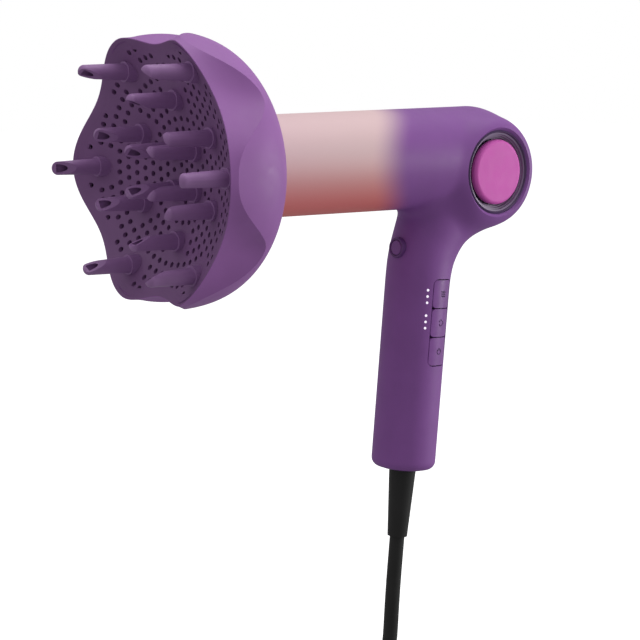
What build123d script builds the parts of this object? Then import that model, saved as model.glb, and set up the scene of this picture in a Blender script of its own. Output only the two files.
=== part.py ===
from build123d import *
import math
import os

# Hair dryer with its diffuser fitted, in millimetres.
# +Z is up, -Y is where the air leaves, +X is the side with the speed and heat buttons.
# The origin is on the handle's own axis, in the middle of the grip.

# ---- driving dimensions -------------------------------------------------------------
AXIS_Z = 100.0            # barrel axis above the grip
WALL = 2.3                # moulded wall of the dryer's housing
RUN = 0.3                 # clearance between pieces that move on each other
EASE = 0.1                # clearance between pieces that are fixed together

BARREL_FRONT = -131.8     # outlet face
BARREL_R_FRONT = 27.6
BARREL_R_BACK = 29.9
POD_Y = 41.2              # cross-wise pod at the back, with an air inlet at each end
POD_Z = 93.2
POD_R = 32.0
POD_HALF = 29.5
POD_ROUND = 6.0
INLET_Z = 91.7
INLET_R = 24.8
INLET_DEPTH = 9.0
BEVEL = 2.0
DISC_R = 19.2

RAKE = 5.4                # the handle's lower end leans towards the outlet
HANDLE_R = 19.3
HANDLE_FOOT = -85.6       # along the handle's axis
FOOT_ROUND = 5.0
FLARE_FROM = 24.0
FLARE_STEP = 10.0
# where the handle widens into the pod: front line, back line, half width, one step apart
FLARE = [
    (-HANDLE_R, HANDLE_R, HANDLE_R),
    (-19.3, 19.7, 19.3),
    (-18.9, 23.0, 19.5),
    (-16.8, 31.0, 20.2),
    (-14.4, 43.5, 21.6),
    (-12.0, 53.5, 23.0),
    (-10.0, 58.0, 23.6),
]

BUTTON_TURN = 12.0        # the button row sits this many degrees behind the handle's +X side
BUTTON_PITCH = 17.1
BUTTON_MID = 4.3          # middle button's centre along the handle
BUTTON_WIDE = 15.6
BUTTON_GAP = 0.6
BUTTON_TRAVEL = 0.8
KEY_LOW = 13.4
BOARD_X = 7.0
BOARD_THICK = 1.6
SWITCH_TOP = 11.7
LAMP_TURN = -23.7
LAMP_R = 0.75
LAMP_PITCH = 3.7
LAMP_GROUPS = (19.9, 4.9)
COOL_S = 46.8             # round cool-shot button, along the handle's front
COOL_R = 4.4
COOL_FACE = -18.9

BOWL_BACK = -132.1        # diffuser's back face, against the outlet
BOWL_R = 73.2
BOWL_FLAT = 28.0
BOWL_DEPTH = 55.7
BOWL_POWER = 3.0
BOWL_WALL = 2.2
# six scoops hollow the bowl's side: middle, half width in degrees, radius of the cut
SCOOPS = [(34.0, 34.0, 300.0), (90.0, 22.0, 60.0), (146.0, 34.0, 300.0),
          (214.0, 34.0, 300.0), (270.0, 22.0, 60.0), (326.0, 34.0, 300.0)]
SCOOP_TILT = 11.2
SCOOP_START_R = 69.2
SCOOP_START = 23.5
RIM_IN_SCOOP = 64.0       # rim's radius in the middle of a scoop
SCALLOP = 6.0             # how far the rim is drawn back there
HOLE_EDGE = 3.0
HOLE_RINGS = 13
DISH_R = 118.0
DISH_MID = -163.2
DISH_THICK = 2.0
HOLE_R = 1.4
HOLE_PITCH = 5.4
HOLE_KEEP = 8.6
# radius of the ring, number, first angle
PRONG_RINGS = [(58.6, 6, 0.0), (36.4, 6, 30.0)]
INNER_PRONG_R = 14.3
INNER_PRONG_TURN = 47.0
PRONG_LONG = 30.0
PRONG_R_BASE = 4.5
PRONG_R_TIP = 3.5
PRONG_BORE = 2.3
PRONG_BORE_END = 1.8
PRONG_CUT = 12.0
PRONG_SLANT = 20.0
BOSS_HIGH = 3.4
SOCKET_R = 3.8

SPIGOT_R = 24.4
SPIGOT_BORE = 20.2
SPIGOT_LONG = 20.0
SPIGOT_FLANGE = 25.4
NECK_R = 22.0

GRILLE_Y = -109.0         # along the barrel, as are the next ones
LINER_FROM = -104.0
LINER_TO = -50.0
WIRE_RING_R = 19.0
WIRE_PITCH = 5.4
STATOR_FROM = -46.0
STATOR_TO = 8.0
STATOR_R = 25.6
FAN_FROM = -9.0
FAN_LONG = 11.0
MOTOR_R = 13.0
SHAFT_R = 1.6

CORD_D = 9.0
RELIEF_LONG = 42.5
RELIEF_TOP_R = 8.2
RELIEF_TIP_R = 6.0
FLOOR_Z = -256.0          # the surface that the spare cord lies on
COIL_X = 57.0
COIL_Y = -70.0
COIL_RADII = (57.0, 48.0, 43.5, 52.5, 61.5)
LAYER = 7.8
PLUG_TURN = 60.0          # where round the coil the lead leaves for the plug
PLUG_RUN = 42.0
PLUG_HIGH = 13.0
PLUG_FACE = 42.0
PIN_R = 2.4
PIN_APART = 19.0
PIN_LONG = 19.0
SHANK_R = 1.6

BARREL = Pos(0, 0, AXIS_Z) * Rot(-90, 0, 0)      # local z runs along the barrel, to the back
HANDLE = Rot(-RAKE, 0, 0)                        # local z runs up the handle


def save(shape, name):
    os.makedirs("parts", exist_ok=True)
    export_step(shape, "parts/" + name + ".step")
    print(name, round(shape.volume, 1))


def turned(points):
    """A solid of revolution about local z from (radius, height) points."""
    outline = Polyline(*[(r, 0, z) for r, z in points], close=True)
    return revolve(make_face(outline), Axis.Z)


def tube(outer, inner, low, high):
    return turned([(inner, low), (outer, low), (outer, high), (inner, high)])


def rod(radius, low, high):
    return Pos(0, 0, (low + high) / 2) * Cylinder(radius, high - low)


def ring_of(shape, count, first=0.0):
    return [Rot(0, 0, first + 360 / count * k) * shape for k in range(count)]


# ---- dryer housing ------------------------------------------------------------------
def barrel_radius(y):
    return BARREL_R_FRONT + (BARREL_R_BACK - BARREL_R_FRONT) * (y - BARREL_FRONT) / (POD_Y - BARREL_FRONT)


def barrel_solid(inset):
    low = BARREL_FRONT - (1.0 if inset else 0.0)
    cone = turned([(0, low), (barrel_radius(low) - inset, low),
                   (BARREL_R_BACK - inset, POD_Y), (0, POD_Y)])
    return BARREL * cone + Pos(0, POD_Y, AXIS_Z) * Sphere(BARREL_R_BACK - inset)


def pod_solid(inset):
    pod = Pos(0, POD_Y, POD_Z) * Rot(0, 90, 0) * Cylinder(POD_R - inset, 2 * (POD_HALF - inset))
    ends = pod.edges().filter_by(GeomType.CIRCLE)
    return fillet(ends, POD_ROUND - inset)


def handle_solid(inset):
    sections = []
    for step, (front, back, wide) in enumerate(FLARE):
        place = Pos(0, (front + back) / 2, FLARE_FROM + FLARE_STEP * step)
        sections.append(place * Ellipse(wide - inset, (back - front) / 2 - inset))
    grip = rod(HANDLE_R - inset, HANDLE_FOOT - (1.0 if inset else 0.0), FLARE_FROM)
    if not inset:
        grip = fillet(grip.edges().sort_by(Axis.Z)[0], FOOT_ROUND)
    return HANDLE * (grip + loft(sections))


def make_housing():
    shell = barrel_solid(0) + pod_solid(0) + handle_solid(0)
    shell -= barrel_solid(WALL) + pod_solid(WALL) + handle_solid(WALL)
    bore = Pos(0, POD_Y, INLET_Z) * Rot(0, 90, 0) * Cylinder(INLET_R, 4 * POD_HALF)
    shell -= bore
    for side in (-1, 1):
        shell -= inlet_place(side) * bevel_cone()
    shell -= HANDLE * Rot(0, 0, BUTTON_TURN) * button_window()
    shell -= HANDLE * Pos(0, COOL_FACE, COOL_S) * Rot(90, 0, 0) * Cylinder(COOL_R + 1.8, 12)
    for hole in lamp_rods(LAMP_R + 0.05):
        shell -= hole
    return shell.solids().sort_by(SortBy.VOLUME)[-1]


def inlet_place(side):
    """Local z points out of the pod's side, from the face of its end."""
    return Pos(side * POD_HALF, POD_Y, INLET_Z) * Rot(0, 90 * side, 0)


def bevel_cone():
    return turned([(0, -BEVEL), (INLET_R, -BEVEL), (INLET_R + BEVEL + 0.1, 0.1), (0, 0.1)])


# ---- air inlets on the pod ----------------------------------------------------------
def make_inlet_ring(side):
    """Dark sleeve that lines the inlet and carries the mesh."""
    sleeve = turned([(INLET_R - 1.4, -INLET_DEPTH), (INLET_R - EASE, -INLET_DEPTH),
                     (INLET_R - EASE, -BEVEL), (INLET_R - 1.0, -BEVEL + 0.6), (INLET_R - 1.4, -BEVEL)])
    return inlet_place(side) * sleeve


def make_inlet_mesh(side):
    """Flat annular grille with three rows of slots, and a hub that holds the disc."""
    outer = INLET_R - 1.4 - EASE
    low = -INLET_DEPTH + 0.5
    grille = rod(outer, low, low + 1.2)
    for radius in (16.6, 19.2, 21.8):
        count = int(2 * math.pi * radius / 3.4)
        slot = Pos(radius, 0, low + 0.6) * Box(1.7, 2.0, 4)
        grille -= ring_of(slot, count)
    return inlet_place(side) * (grille + rod(9.0, low, low + 2.4))


def make_inlet_disc(side):
    """Domed disc that covers the middle of the inlet."""
    low = -INLET_DEPTH + 2.9 + EASE
    disc = rod(DISC_R, low + 1.0, -1.2)
    disc = fillet(disc.edges().sort_by(Axis.Z)[-1], 2.2)
    hollow = rod(DISC_R - 2.0, low, -3.4)
    disc = disc - hollow + rod(8.0, low, -3.0)
    return inlet_place(side) * disc


# ---- controls -----------------------------------------------------------------------
def curved_block(low_x, outer_r, wide, low, high, corner):
    """A block whose outer face follows the handle's round."""
    middle = (low + high) / 2
    slab = Pos(0, 0, middle) * Rot(0, 90, 0) * extrude(RectangleRounded(high - low, wide, corner), 30)
    slab -= Pos(low_x - 15, 0, (low + high) / 2) * Box(30, 60, high - low + 2)
    return slab & rod(outer_r, low - 5, high + 5)


def button_span(index):
    mid = BUTTON_MID + BUTTON_PITCH * (1 - index)
    half = (BUTTON_PITCH - BUTTON_GAP) / 2
    return mid - half, mid + half


def button_window():
    low = button_span(2)[0] - BUTTON_GAP
    high = button_span(0)[1] + BUTTON_GAP
    return curved_block(9.0, HANDLE_R + 5, BUTTON_WIDE + 2 * BUTTON_GAP, low, high, 3.6)


def make_button(index):
    """Key with a curved face, side lips that keep it in, and a stem over its switch."""
    low, high = button_span(index)
    mid = (low + high) / 2
    key = curved_block(KEY_LOW, HANDLE_R - 0.1, BUTTON_WIDE, low, high, 2.4)
    lips = Pos(KEY_LOW, 0, mid) * Box(1.0, BUTTON_WIDE + 1.6, high - low - 6)
    stem_low = SWITCH_TOP + BUTTON_TRAVEL + 0.2
    stem = Pos((stem_low + KEY_LOW) / 2, 0, mid) * Rot(0, 90, 0) * Cylinder(2.0, KEY_LOW - stem_low)
    return HANDLE * Rot(0, 0, BUTTON_TURN) * (key + lips + stem)


def make_board():
    """Circuit board behind the buttons."""
    board = Pos(BOARD_X + BOARD_THICK / 2, 0, BUTTON_MID - 4) * Box(BOARD_THICK, 28, 84)
    return HANDLE * Rot(0, 0, BUTTON_TURN) * board


def make_switches():
    """One tactile switch under each of the three buttons."""
    low = BOARD_X + BOARD_THICK + EASE
    group = []
    for index in range(3):
        base = Pos((low + SWITCH_TOP) / 2, 0, sum(button_span(index)) / 2) * Box(SWITCH_TOP - low, 6, 6)
        group.append(HANDLE * Rot(0, 0, BUTTON_TURN) * base)
    return Compound(children=group)


def lamp_rods(radius):
    rods = []
    for group in LAMP_GROUPS:
        for step in (-1, 0, 1):
            pin = Pos(HANDLE_R - 1.1, 0, group + step * LAMP_PITCH) * Rot(0, 90, 0) * Cylinder(radius, 2.3)
            rods.append(HANDLE * Rot(0, 0, LAMP_TURN) * pin)
    return rods


def make_cool_bezel():
    bezel = turned([(COOL_R + RUN, -6), (COOL_R + 1.8 - EASE, -6), (COOL_R + 1.8 - EASE, 0.5),
                    (COOL_R + 1.2, 1.0), (COOL_R + RUN, 0.6)])
    return HANDLE * Pos(0, COOL_FACE, COOL_S) * Rot(90, 0, 0) * bezel


def make_cool_button():
    key = rod(COOL_R, -7.5, 0.9)
    key = fillet(key.edges().sort_by(Axis.Z)[-1], 0.8)
    key += rod(2.0, -10, -7.5)
    return HANDLE * Pos(0, COOL_FACE, COOL_S) * Rot(90, 0, 0) * key


def make_cool_switch():
    body = Pos(0, 0, -13.6) * Box(7, 7, 4.4)
    return HANDLE * Pos(0, COOL_FACE, COOL_S) * Rot(90, 0, 0) * body


# ---- inside the barrel --------------------------------------------------------------
def make_outlet_grille():
    """Guard behind the outlet: rings on six spokes."""
    bars = [tube(25.2, 23.6, GRILLE_Y, GRILLE_Y + 3)]
    for radius in (6.0, 11.0, 16.0, 20.5):
        bars.append(tube(radius + 0.5, radius - 0.5, GRILLE_Y, GRILLE_Y + 2.4))
    spoke = Pos(12.2, 0, GRILLE_Y + 1.2) * Box(24, 1.2, 2.4)
    return BARREL * (bars[0] + bars[1:] + ring_of(spoke, 6))


def make_heater_liner():
    """Insulating sleeve round the heater."""
    return BARREL * tube(24.9, 24.1, LINER_FROM, LINER_TO)


def heater_wires(radius):
    middle = (LINER_FROM + LINER_TO) / 2
    return [Pos(0, 0, middle + WIRE_PITCH * k) * Torus(WIRE_RING_R, radius) for k in range(-4, 5)]


def make_heater_frame():
    """Two crossed insulating boards, notched for the wire."""
    middle = (LINER_FROM + LINER_TO) / 2
    cross = Pos(0, 0, middle) * (Box(45, 1.2, 50) + Box(1.2, 45, 50))
    for wire in heater_wires(0.85):
        cross -= wire
    return BARREL * cross


def make_heater_wires():
    return Compound(children=[BARREL * wire for wire in heater_wires(0.75)])


def make_thermal_cutout():
    return BARREL * Pos(6.5, 6.5, LINER_FROM + 20) * Rot(0, 0, 45) * Box(7, 4, 12)


def make_ion_emitter():
    block = Pos(-6.5, -9.0, LINER_FROM - 0.9) * Box(8, 6, 2.0)
    needle = Pos(-6.5, -9.0, LINER_FROM + 3.0) * Cylinder(0.8, 6)
    return BARREL * (block + needle)


def make_stator():
    """Fan duct with straightening vanes and the seat of the motor."""
    duct = tube(STATOR_R, STATOR_R - 1.2, STATOR_FROM, STATOR_TO)
    seat = tube(MOTOR_R + 1.3, MOTOR_R + EASE, STATOR_FROM, FAN_FROM - 5)
    vane = Pos(19.3, 0, STATOR_FROM + 15) * Rot(12, 0, 0) * Box(10.6, 1.2, 24)
    return BARREL * (duct + seat + ring_of(vane, 11))


def make_motor():
    can = rod(MOTOR_R, STATOR_FROM + 3, FAN_FROM - 2)
    can = chamfer(can.edges().filter_by(GeomType.CIRCLE), 0.8)
    return BARREL * (can - rod(SHAFT_R + 0.05, STATOR_FROM, FAN_FROM))


def make_fan():
    """Axial impeller: hub, shaft and nine twisted blades."""
    hub = fillet(rod(11.0, FAN_FROM, FAN_FROM + FAN_LONG).edges().sort_by(Axis.Z)[-1], 4.0)
    blade = Pos(16.4, 0, FAN_FROM + FAN_LONG / 2) * Rot(38, 0, 0) * Box(13.6, 1.1, FAN_LONG)
    blades = ring_of(blade, 9)
    limit = rod(STATOR_R - 1.2 - 0.6, FAN_FROM, FAN_FROM + FAN_LONG)
    return BARREL * (((hub + blades) & limit) + rod(SHAFT_R, STATOR_FROM + 6, FAN_FROM + 1))


# ---- diffuser -----------------------------------------------------------------------
def dome_profile(inset, extra):
    """Radius and depth of the bowl: a flat back that rounds into a nearly straight side."""
    radius = BOWL_R - inset
    depth = BOWL_DEPTH - 4.0
    points = []
    for k in range(1, 13):
        part = math.radians(7.5 * k)
        across = BOWL_FLAT + (radius - BOWL_FLAT) * math.sin(part) ** (2 / BOWL_POWER * 1.25)
        along = depth * (1 - math.cos(part) ** (2 / BOWL_POWER * 1.25))
        points.append((across, along + inset))
    side = points[-1]
    return points, (side[0] + 0.3, BOWL_DEPTH + extra)


def dome_solid(inset, extra):
    """The bowl's solid form, its flat back at the back face less the inset."""
    points, mouth = dome_profile(inset, extra)
    outline = [(r, 0, BOWL_BACK - d) for r, d in [(BOWL_FLAT, inset)] + points]
    curve = Spline(*outline, tangents=[(1, 0, 0), (0, 0, -1)])
    back = Line((0, 0, BOWL_BACK - inset), (BOWL_FLAT, 0, BOWL_BACK - inset))
    wall = Line((points[-1][0], 0, BOWL_BACK - points[-1][1]), (mouth[0], 0, BOWL_BACK - mouth[1]))
    front = Line((mouth[0], 0, BOWL_BACK - mouth[1]), (0, 0, BOWL_BACK - mouth[1]))
    axis = Line((0, 0, BOWL_BACK - mouth[1]), (0, 0, BOWL_BACK - inset))
    return revolve(make_face([back, curve, wall, front, axis]), Axis.Z)


def scoops(inset):
    """Six tilted cutters that hollow the bowl's side between its lobes."""
    cutters = []
    for middle, half, radius in SCOOPS:
        across = SCOOP_START_R + radius * math.cos(math.radians(SCOOP_TILT))
        along = BOWL_BACK - SCOOP_START - radius * math.sin(math.radians(SCOOP_TILT))
        cutter = Cylinder(radius + inset, 4 * SCOOP_START + radius)
        cutters.append(Rot(0, 0, middle) * Pos(across, 0, along) * Rot(0, SCOOP_TILT, 0) * cutter)
    return cutters


def scallops():
    """Six cutters that draw the rim back in a smooth wave between the lobes."""
    front = BOWL_BACK - BOWL_DEPTH
    cutters = []
    for middle, half, _ in SCOOPS:
        wide = BOWL_R * math.sin(math.radians(half))
        wave = Spline((-wide, front), (-wide / 2, front + SCALLOP / 2), (0, front + SCALLOP),
                      (wide / 2, front + SCALLOP / 2), (wide, front), tangents=[(1, 0), (1, 0)])
        below = Polyline((wide, front), (wide, front - 5), (-wide, front - 5), (-wide, front))
        cutter = Pos(30, 0, 0) * extrude(Plane.YZ * make_face([wave, below]), 60)
        cutters.append(Rot(0, 0, middle) * cutter)
    return cutters


def bowl_void(inset):
    return dome_solid(inset, 5.0) - scoops(inset)


def make_bowl():
    bowl = dome_solid(0, 0) - scoops(0) - bowl_void(BOWL_WALL) - scallops()
    bowl -= rod(NECK_R + RUN, BOWL_BACK - 10, BOWL_BACK + 10)
    return BARREL * bowl


def dish_y(radius):
    return DISH_MID - DISH_R + math.sqrt(DISH_R ** 2 - radius ** 2)


def prong_places():
    places = []
    for radius, count, first in PRONG_RINGS:
        for k in range(count):
            places.append((radius, first + 360 / count * k))
    for turn in (INNER_PRONG_TURN, 180 - INNER_PRONG_TURN):
        places.append((INNER_PRONG_R, turn))
        places.append((INNER_PRONG_R, -turn))
    return places


def polar(radius, turn):
    return radius * math.cos(math.radians(turn)), radius * math.sin(math.radians(turn))


def hole_places():
    """Rings of holes, left out where a prong stands."""
    prongs = [polar(radius, turn) for radius, turn in prong_places()]
    places = []
    for ring in range(HOLE_RINGS):
        radius = HOLE_PITCH * ring
        count = max(1, round(2 * math.pi * radius / HOLE_PITCH / 6) * 6)
        for k in range(count):
            x, y = polar(radius, 360 / count * (k + 0.5 * (ring % 2)))
            if min(math.hypot(x - px, y - py) for px, py in prongs) > HOLE_KEEP:
                places.append((x, y))
    return places


def inside_rim(x, y):
    """True where the dish still has room for a hole beside the bowl's wavy side."""
    turn = math.degrees(math.atan2(y, x)) % 360
    part = min(1, *(abs((turn - middle + 180) % 360 - 180) / half for middle, half, _ in SCOOPS))
    rim = RIM_IN_SCOOP + (BOWL_R - RIM_IN_SCOOP) * (1 - math.cos(math.pi * part)) / 2
    return math.hypot(x, y) < rim - BOWL_WALL - HOLE_EDGE


def make_plate():
    """Concave perforated dish that closes the bowl's mouth."""
    centre = DISH_MID - DISH_R
    shell = Pos(0, 0, centre) * (Sphere(DISH_R + DISH_THICK) - Sphere(DISH_R))
    plate = shell & bowl_void(BOWL_WALL + EASE)
    plate = plate.solids().sort_by(SortBy.VOLUME)[-1]
    places = [(x, y) for x, y in hole_places() if inside_rim(x, y)]
    drills = [Pos(x, y, DISH_MID - 8) * Cylinder(HOLE_R, 50) for x, y in places]
    sockets = [Pos(*polar(r, a), DISH_MID - 8) * Cylinder(SOCKET_R, 50) for r, a in prong_places()]
    return BARREL * (plate - (drills + sockets))


def finger():
    """Tapered tube with a closed round tip, cut on a slant on the side that faces the middle."""
    body = turned([(0, 5), (PRONG_R_BASE, 5), (PRONG_R_BASE, 0),
                   (PRONG_R_TIP, -PRONG_LONG), (0, -PRONG_LONG)])
    body = fillet(body.edges().sort_by(Axis.Z)[0], PRONG_R_TIP - 0.6)
    start = Pos(-PRONG_R_TIP - 0.4, 0, PRONG_CUT - PRONG_LONG)
    return body - start * Rot(0, -PRONG_SLANT, 0) * Pos(-10, 0, 0) * Box(20, 20, 60)


def make_prongs():
    """Sixteen hollow fingers, each on a round boss with a stem through the dish."""
    pieces = []
    shape = finger()
    front = Pos(0, 0, DISH_MID - DISH_R) * Sphere(DISH_R - 0.05)
    for radius, turn in prong_places():
        place = Rot(0, 0, turn) * Pos(radius, 0, dish_y(radius))
        boss = place * (rod(PRONG_R_BASE + 0.9, -BOSS_HIGH, 6) + shape)
        stem = place * rod(SOCKET_R - EASE, -BOSS_HIGH, 3.4)
        bore = place * rod(PRONG_BORE, PRONG_BORE_END - PRONG_LONG, 8)
        pieces.append(BARREL * ((boss & front) + stem - bore))
    return Compound(children=pieces)


# ---- coupling between diffuser and outlet -------------------------------------------
def make_spigot():
    """Ribbed sleeve that plugs into the outlet; its flange is held inside the bowl."""
    back = BOWL_BACK + SPIGOT_LONG
    inside = BOWL_BACK - BOWL_WALL - RUN
    body = turned([(SPIGOT_BORE, back), (SPIGOT_R - 0.8, back), (SPIGOT_R, back - 1.2),
                   (SPIGOT_R, BOWL_BACK + RUN), (NECK_R, BOWL_BACK + RUN), (NECK_R, inside),
                   (SPIGOT_FLANGE, inside), (SPIGOT_FLANGE, inside - 2), (SPIGOT_BORE, inside - 2)])
    for depth in (5.0, 9.0, 13.0):
        body -= tube(SPIGOT_R + 1, SPIGOT_R - 0.8, BOWL_BACK + depth, BOWL_BACK + depth + 1.6)
    return BARREL * body


def make_spigot_seal():
    """Soft ring in the sleeve's middle groove."""
    middle = BOWL_BACK + 9.8
    return BARREL * Pos(0, 0, middle) * tube(SPIGOT_R + 0.35, SPIGOT_R - 0.75, -0.7, 0.7)


def make_retainer():
    """Clip ring inside the bowl that keeps the sleeve's flange in."""
    top = BOWL_BACK - BOWL_WALL
    return BARREL * turned([(25.8, top), (27.9, top), (27.9, top - 4.4), (23.6, top - 4.4),
                            (23.6, top - 2.7), (25.8, top - 2.7)])


# ---- handle foot, cord and plug -----------------------------------------------------
def make_foot_cap():
    """Disc that closes the handle's lower end and holds the strain relief."""
    outer = HANDLE_R - WALL - EASE
    return HANDLE * turned([(5.2, HANDLE_FOOT), (14.3, HANDLE_FOOT), (outer, HANDLE_FOOT + 0.9),
                            (outer, HANDLE_FOOT + 5), (5.2, HANDLE_FOOT + 5)])


def make_strain_relief():
    """Tapered sleeve round the lead, with a flange inside the handle."""
    tip = HANDLE_FOOT - RELIEF_LONG
    inner = CORD_D / 2 + EASE
    body = turned([(inner, HANDLE_FOOT + 8), (9.0, HANDLE_FOOT + 8), (9.0, HANDLE_FOOT + 5.1),
                   (5.1, HANDLE_FOOT + 5.1), (5.1, HANDLE_FOOT - EASE), (RELIEF_TOP_R, HANDLE_FOOT - EASE),
                   (RELIEF_TIP_R, tip), (inner, tip)])
    return HANDLE * body


def on_handle(height):
    return (0.0, height * math.sin(math.radians(RAKE)), height * math.cos(math.radians(RAKE)))


# the lead hangs from the strain relief and turns on to the top of its own coil
CORD_ROUTE = [
    on_handle(HANDLE_FOOT + 2.0),
    on_handle(HANDLE_FOOT - RELIEF_LONG),
    (0.0, -15.6, -163.0),
    (0.0, -18.0, -205.6),
    (0.0, -32.0, -229.7),
    (0.0, -56.1, -243.7),
    (0.0, -83.0, -243.7),
]


def corner_radii(points):
    """Each corner is rounded as far as its shorter run allows."""
    radii = []
    for before, here, after in zip(points, points[1:], points[2:]):
        first = Vector(*here) - Vector(*before)
        second = Vector(*after) - Vector(*here)
        half = math.radians(first.get_angle(second)) / 2
        radii.append(0.45 * min(first.length, second.length) / math.tan(half))
    return radii


def tube_along(points, diameter):
    radii = corner_radii(points)
    print("corner radii", [round(r, 1) for r in radii])
    path = FilletPolyline(*points, radius=radii)
    start = Plane(origin=path @ 0, z_dir=path % 0)
    solid = sweep(start * Circle(diameter / 2), path=path)
    print("tube length", round(path.length, 1), "volume ratio",
          round(solid.volume / (math.pi * diameter ** 2 / 4 * path.length), 4))
    return solid


def make_cord_tube():
    return tube_along(CORD_ROUTE, CORD_D)


def coil_section():
    """Outline of the turns: three beside each other and two on top."""
    half = CORD_D / 2
    low = COIL_RADII[2] - half
    high = COIL_RADII[4] + half
    top = LAYER + CORD_D
    return [(low, half), (low + 1.4, 0.6), (low + half, 0), (high - half, 0), (high - 1.4, 0.6), (high, half),
            (high - 1.0, half + 3), (high - half, top), (low + half, top), (low + 1.0, half + 3)]


def tie_block(grow):
    """The strap's outer form, round the coil's section at the side away from the handle."""
    half = CORD_D / 2
    low = COIL_RADII[2] - half - 1.6 - grow
    high = COIL_RADII[4] + half + 1.6 + grow
    deep = LAYER + CORD_D + 1.6 + grow
    return Pos((low + high) / 2, 0, deep / 2 - grow / 2) * Box(high - low, 12 + 2 * grow, deep + grow)


def coil_place(turn=0.0):
    return Pos(COIL_X, COIL_Y, FLOOR_Z) * Rot(0, 0, turn)


def make_cord_coil():
    """One closed ring with the outer shape of the wound turns, waisted under the tie."""
    ring = turned(coil_section())
    waist = Rot(0, 0, -20) * (tie_block(0.3) - tie_hollow(-0.2))
    return coil_place() * (ring - waist)


def tie_hollow(grow):
    half = CORD_D / 2
    low = COIL_RADII[2] - half + 1.0 - grow
    high = COIL_RADII[4] + half - 1.0 + grow
    top = LAYER + CORD_D
    return Pos((low + high) / 2, 0, top / 2) * Box(high - low, 20, top - 3.0 + 2 * grow)


def make_cord_tie():
    """Strap that holds the coil together."""
    return coil_place(-20) * (tie_block(0) - tie_hollow(0))


def plug_place():
    """Local z points the way the pins do; local y is up."""
    x, y = polar(COIL_RADII[4], PLUG_TURN)
    heading = PLUG_TURN + 90
    hx, hy = polar(PLUG_RUN, heading)
    place = Pos(COIL_X + x + hx, COIL_Y + y + hy, FLOOR_Z) * Rot(0, 0, heading - 90)
    return place * Rot(90, 0, 0) * Rot(0, 180, 0)


def make_plug_lead():
    """Last stretch of the lead, from the coil's outer turn into the plug."""
    heading = PLUG_TURN + 90
    x, y = polar(COIL_RADII[4], PLUG_TURN)
    points = []
    for run, height in ((2.0, 4.5), (14.0, 5.4), (28.0, 9.6), (PLUG_RUN - 1.0, PLUG_HIGH)):
        hx, hy = polar(run, heading)
        points.append((COIL_X + x + hx, COIL_Y + y + hy, FLOOR_Z + height))
    return tube_along(points, CORD_D)


def make_plug_body():
    """Two-pin moulded plug with a tapered tail."""
    tail = Pos(0, PLUG_HIGH, 0) * Circle(CORD_D / 2 + 1.2)
    neck = Pos(0, PLUG_HIGH, 14) * Circle(CORD_D / 2 + 2.2)
    waist = Pos(0, PLUG_HIGH, 26) * RectangleRounded(30, 17, 7)
    face = Pos(0, PLUG_HIGH, PLUG_FACE) * RectangleRounded(36, 24, 9)
    body = loft([tail, neck]) + loft([neck, waist, face], ruled=True)
    body -= Pos(0, PLUG_HIGH, -1) * Cylinder(CORD_D / 2 + 0.05, 4)
    return body - [spot * rod(SHANK_R + 0.02, PLUG_FACE - 6.1, PLUG_FACE + 1) for spot in pin_places()]


def pin_places():
    return [Pos(side * PIN_APART / 2, PLUG_HIGH, 0) for side in (-1, 1)]


def make_plug_pins():
    pins = []
    for place in pin_places():
        pin = rod(PIN_R, PLUG_FACE, PLUG_FACE + PIN_LONG)
        pin = fillet(pin.edges().sort_by(Axis.Z)[-1], 1.2)
        pins.append(place * (pin + rod(SHANK_R, PLUG_FACE - 6, PLUG_FACE)))
    return pins


def main():
    save(make_housing(), "housing")
    for side, word in ((-1, "left"), (1, "right")):
        save(make_inlet_ring(side), "inlet_ring_" + word)
        save(make_inlet_mesh(side), "inlet_mesh_" + word)
        save(make_inlet_disc(side), "inlet_disc_" + word)
    for index, word in enumerate(("heat", "speed", "power")):
        save(make_button(index), word + "_button")
    save(make_board(), "circuit_board")
    save(make_switches(), "button_switches")
    save(Compound(children=lamp_rods(LAMP_R)), "indicator_lamps")
    save(make_cool_bezel(), "cool_shot_bezel")
    save(make_cool_button(), "cool_shot_button")
    save(make_cool_switch(), "cool_shot_switch")
    save(make_outlet_grille(), "outlet_grille")
    save(make_heater_liner(), "heater_liner")
    save(make_heater_frame(), "heater_frame")
    save(make_heater_wires(), "heater_wires")
    save(make_thermal_cutout(), "thermal_cutout")
    save(make_ion_emitter(), "ion_emitter")
    save(make_stator(), "fan_duct")
    save(make_motor(), "motor")
    save(make_fan(), "fan")
    save(make_bowl(), "diffuser_bowl")
    save(make_plate(), "diffuser_plate")
    save(make_prongs(), "diffuser_prongs")
    save(make_retainer(), "diffuser_retainer")
    save(make_spigot(), "coupling_sleeve")
    save(make_spigot_seal(), "coupling_seal")
    save(make_foot_cap(), "handle_foot_cap")
    save(make_strain_relief(), "strain_relief")
    save(make_cord_tube(), "cord_tube")
    save(make_cord_coil(), "cord_coil")
    save(make_cord_tie(), "cord_tie")
    place = plug_place()
    save(make_plug_lead(), "plug_lead")
    save(place * make_plug_body(), "plug_body")
    save(Compound(children=[place * pin for pin in make_plug_pins()]), "plug_pins")


main()
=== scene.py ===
import math

import bmesh
import bpy
import numpy as np
from mathutils import Matrix, Vector


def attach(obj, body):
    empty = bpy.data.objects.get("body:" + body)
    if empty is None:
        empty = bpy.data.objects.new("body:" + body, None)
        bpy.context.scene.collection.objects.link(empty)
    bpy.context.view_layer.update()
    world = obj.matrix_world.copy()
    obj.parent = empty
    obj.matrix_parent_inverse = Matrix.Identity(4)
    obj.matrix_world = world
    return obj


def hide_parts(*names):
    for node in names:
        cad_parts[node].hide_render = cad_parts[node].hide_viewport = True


# Hair dryer with its diffuser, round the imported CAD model. Lengths are in metres.
# +Z is up, -Y is where the air leaves, +X is the side with the keys.

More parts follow.
